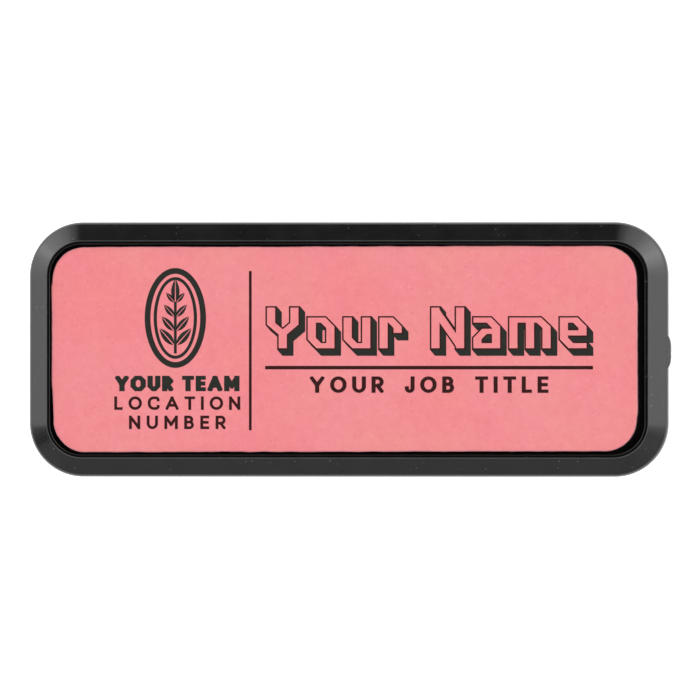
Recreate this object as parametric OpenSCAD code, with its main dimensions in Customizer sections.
// Framed name badge: a bevelled moulded frame, a plate that sits in its recess,
// and a bar pin on its back. It lies on the pin with its face up.
// X runs along the badge, Y towards its top edge, Z out of its face. Sizes are in millimetres.

/* [Frame] */
// Width of the frame, along X
frame_w = 83.1; // [70:0.1:110]
// Height of the frame, along Y
frame_h = 33; // [28:0.1:60]
// Thickness of the frame, from its back to its rim
frame_t = 4; // [3.8:0.1:6]
// Radius of the outer corners
corner_r = 7; // [6:0.1:9]
// Height of the upright side wall below the bevel
side_h = 2; // [1.4:0.1:2.4]
// Width of the sloping bevel, seen from the front
bevel_w = 2.46; // [2:0.01:3]
// Rounding where the side wall meets the bevel
shoulder_r = 0.7; // [0.1:0.05:0.8]
// Rounding along the crest, where the bevel meets the rim
crest_r = 0.35; // [0.1:0.05:0.4]
// Rounding around the edge of the back
back_edge_r = 0.4; // [0.1:0.05:0.6]
// Width of the narrow flat rim between the crest and the recess
rim_w = 0.42; // [0.4:0.01:0.6]
// Rounding along the rim's inner edge
rim_edge_r = 0.1; // [0.05:0.01:0.12]
// Thickness of the floor behind the plate
floor_t = 2.1; // [1:0.1:2.1]

/* [Gate mark] */
// Length of the trimmed moulding gate on the right edge
gate_l = 4.8; // [2:0.1:6]
// How far the gate stands out of the edge
gate_out = 0.35; // [0.1:0.05:0.5]
// Place of the gate along the right edge, from the middle
gate_y = -0.3; // [-4:0.05:4]

/* [Name plate] */
// Width of the plate
plate_w = 76.2; // [62:0.1:103]
// Height of the plate
plate_h = 26.7; // [21:0.1:54]
// Thickness of the plate
plate_t = 1.6; // [1:0.05:1.8]
// Radius of the plate's corners
plate_r = 4.2; // [1.5:0.1:4.5]
// Chamfer around the plate's front edge
plate_chamfer = 0.2; // [0.05:0.01:0.3]
// Offset of the plate from the middle of the recess, along X
plate_dx = -0.4; // [-0.45:0.05:0.45]
// Offset of the plate from the middle of the recess, along Y
plate_dy = 0.05; // [-0.1:0.05:0.1]

/* [Bar pin] */
// Height of the pin, from its feet to its top
pin_h = 5; // [4.5:0.1:6]
// Length of the base strip
strip_l = 38; // [36:1:44]
// Width of the base strip
strip_w = 6; // [5.5:0.5:8]
// Thickness of the base strip
strip_t = 0.8; // [0.5:0.1:1]
// Radius of the strip's corners
strip_r = 2; // [0.5:0.1:2.5]
// Distance between the middles of the hinge block and the catch
block_span = 30; // [26:1:31]
// Length of the hinge block and of the catch
block_l = 4.2; // [3.5:0.1:5]
// Width of the hinge block and of the catch
block_w = 5; // [4.5:0.1:5.5]
// Rounding of the lower edges of both blocks
block_r = 0.9; // [0.3:0.1:1.2]
// Radius of the needle
needle_r = 0.45; // [0.35:0.05:0.5]
// Height of the needle's axis above the feet
needle_z = 2; // [1.8:0.1:2.2]

/* [Hidden] */

// Facets of every full circle
$fn = 96;
// Straight steps that stand for a small rounding
round_steps = 4;
// Film of adhesive under the plate and on top of the bar pin
glue_gap = 0.05;
// Overlap that joins the parts of one solid
join = 0.2;

frame_z = pin_h + glue_gap;
plate_z = frame_z + floor_t + glue_gap;
recess_inset = bevel_w + rim_w;
recess_r = corner_r - recess_inset;

// Rise of the bevel per millimetre inwards
bevel_slope = (frame_t - side_h) / bevel_w;

// The gate bulges out of the wall in an arc, and its top follows the bevel a little below it
gate_radius = gate_l * gate_l / (8 * gate_out) + gate_out / 2;
gate_turn = acos(1 - gate_out / gate_radius) + 2;
gate_depth = 0.8;
gate_low = 0.3;
gate_drop = 0.03;
gate_high = side_h - gate_drop - gate_out * bevel_slope;

// Width of the band around the plate that carries its chamfer
plate_band = 1;

// The needle's tip lies in the slot of the catch, which is open towards the bottom edge
slot_r = needle_r + 0.15;
tip_l = 2.4;
tip_r = 0.1;
tip_x = block_span / 2 + 1.2;

// Unit vector along v
function unit(v) = v / norm(v);

// Points of the arc of radius r that rounds the corner b between a and c
function rounded(a, b, c, r) =
    let (
        u = unit(a - b),
        w = unit(c - b),
        half = acos(u * w) / 2,
        middle = b + unit(u + w) * r / sin(half),
        start = b + u * r / tan(half) - middle,
        first = atan2(start.y, start.x),
        sweep = -sign(cross(u, w)) * (180 - 2 * half)
    )
    [
        for (i = [0 : round_steps])
            let (angle = first + sweep * i / round_steps)
            middle + r * [cos(angle), sin(angle)]
    ];

// Section of the frame's rim: distance out from a corner's centre, height above the back
rim_foot = [recess_r, 0];
back_edge = [corner_r, 0];
shoulder = [corner_r, side_h];
crest = [corner_r - bevel_w, frame_t];
rim_edge = [recess_r, frame_t];
rim_section = concat(
    [rim_foot],
    rounded(rim_foot, back_edge, shoulder, back_edge_r),
    rounded(back_edge, shoulder, crest, shoulder_r),
    rounded(shoulder, crest, rim_edge, crest_r),
    rounded(crest, rim_edge, rim_foot, rim_edge_r)
);

// Section of the gate: distance from the middle of its arc, height above the back
gate_section = [
    [gate_radius - gate_depth, gate_low],
    [gate_radius, gate_low],
    [gate_radius, gate_high],
    [gate_radius - gate_depth, gate_high + gate_depth * bevel_slope]
];

// Section of the plate's outer band, with the chamfer at its front edge
plate_section = [
    [plate_r - plate_band, 0],
    [plate_r, 0],
    [plate_r, plate_t - plate_chamfer],
    [plate_r - plate_chamfer, plate_t],
    [plate_r - plate_band, plate_t]
];

// Side view of a pin block: round at the feet, and sunk into the strip at its top
block_top = pin_h - strip_t + join;
block_corners = [
    [-block_l / 2, block_top],
    [-block_l / 2, 0],
    [block_l / 2, 0],
    [block_l / 2, block_top]
];
block_section = concat(
    [block_corners[0]],
    rounded(block_corners[0], block_corners[1], block_corners[2], block_r),
    rounded(block_corners[1], block_corners[2], block_corners[3], block_r),
    [block_corners[3]]
);

// Slab of thickness t with rounded corners, standing on z = 0
module rounded_slab(w, h, t, r) {
    linear_extrude(t) {
        square([w, h - 2 * r], center = true);
        square([w - 2 * r, h], center = true);
        for (x = [-1, 1], y = [-1, 1])
            translate([x * (w / 2 - r), y * (h / 2 - r)])
                circle(r);
    }
}

// Straight band along one side, facing the way that the angle points
module band_side(section, angle, length, reach) {
    rotate(angle)
        translate([reach, length / 2, 0])
            rotate([90, 0, 0])
                linear_extrude(length)
                    polygon(section);
}

// Band with the given section around a rounded rectangle
module band(section, w, h, r) {
    run_x = w / 2 - r;
    run_y = h / 2 - r;
    for (side = [0, 1]) {
        band_side(section, 180 * side, 2 * run_y, run_x);
        band_side(section, 90 + 180 * side, 2 * run_x, run_y);
        for (up = [0, 1])
            rotate(180 * side)
                translate([run_x, (2 * up - 1) * run_y, 0])
                    rotate(90 * (up - 1))
                        rotate_extrude(angle = 90)
                            polygon(section);
    }
}

// What is left of the moulding gate, cut short on the right edge
module gate_mark() {
    translate([frame_w / 2 + gate_out - gate_radius, gate_y, 0])
        rotate(-gate_turn)
            rotate_extrude(angle = 2 * gate_turn)
                polygon(gate_section);
}

// Tray moulding: bevelled rim, floor and gate mark in one solid
module frame() {
    inset = recess_inset - join;
    color([0.13, 0.13, 0.13])
        translate([0, 0, frame_z]) {
            band(rim_section, frame_w, frame_h, corner_r);
            rounded_slab(frame_w - 2 * inset, frame_h - 2 * inset, floor_t, recess_r + join);
            gate_mark();
        }
}

// Plate that lies in the recess, with a small chamfer around its face
module name_plate() {
    inset = plate_band - join;
    color([0.94, 0.57, 0.58])
        translate([plate_dx, plate_dy, plate_z]) {
            band(plate_section, plate_w, plate_h, plate_r);
            rounded_slab(plate_w - 2 * inset, plate_h - 2 * inset, plate_t, plate_r - inset);
        }
}

// Block under the base strip with its middle at x
module pin_block(x) {
    translate([x, 0, 0])
        rotate([90, 0, 0])
            linear_extrude(block_w, center = true)
                polygon(block_section);
}

// Slot in the catch for the needle's tip
module catch_slot() {
    translate([(block_span - block_l) / 2 - join, -block_w, needle_z - slot_r])
        cube([block_l + 2 * join, block_w + slot_r, 2 * slot_r]);
}

// Straight needle from the hinge block, with a pointed tip
module needle() {
    shaft_end = tip_x - tip_l;
    translate([-block_span / 2, 0, needle_z])
        rotate([0, 90, 0])
            cylinder(h = shaft_end + block_span / 2, r = needle_r);
    translate([shaft_end, 0, needle_z])
        rotate([0, 90, 0])
            cylinder(h = tip_l, r1 = needle_r, r2 = tip_r);
}

// Base strip, hinge block, catch and needle in one plain solid
module bar_pin() {
    color([0.75, 0.75, 0.77]) {
        translate([0, 0, pin_h - strip_t])
            rounded_slab(strip_l, strip_w, strip_t, strip_r);
        pin_block(-block_span / 2);
        difference() {
            pin_block(block_span / 2);
            catch_slot();
        }
        needle();
    }
}

frame();
name_plate();
bar_pin();
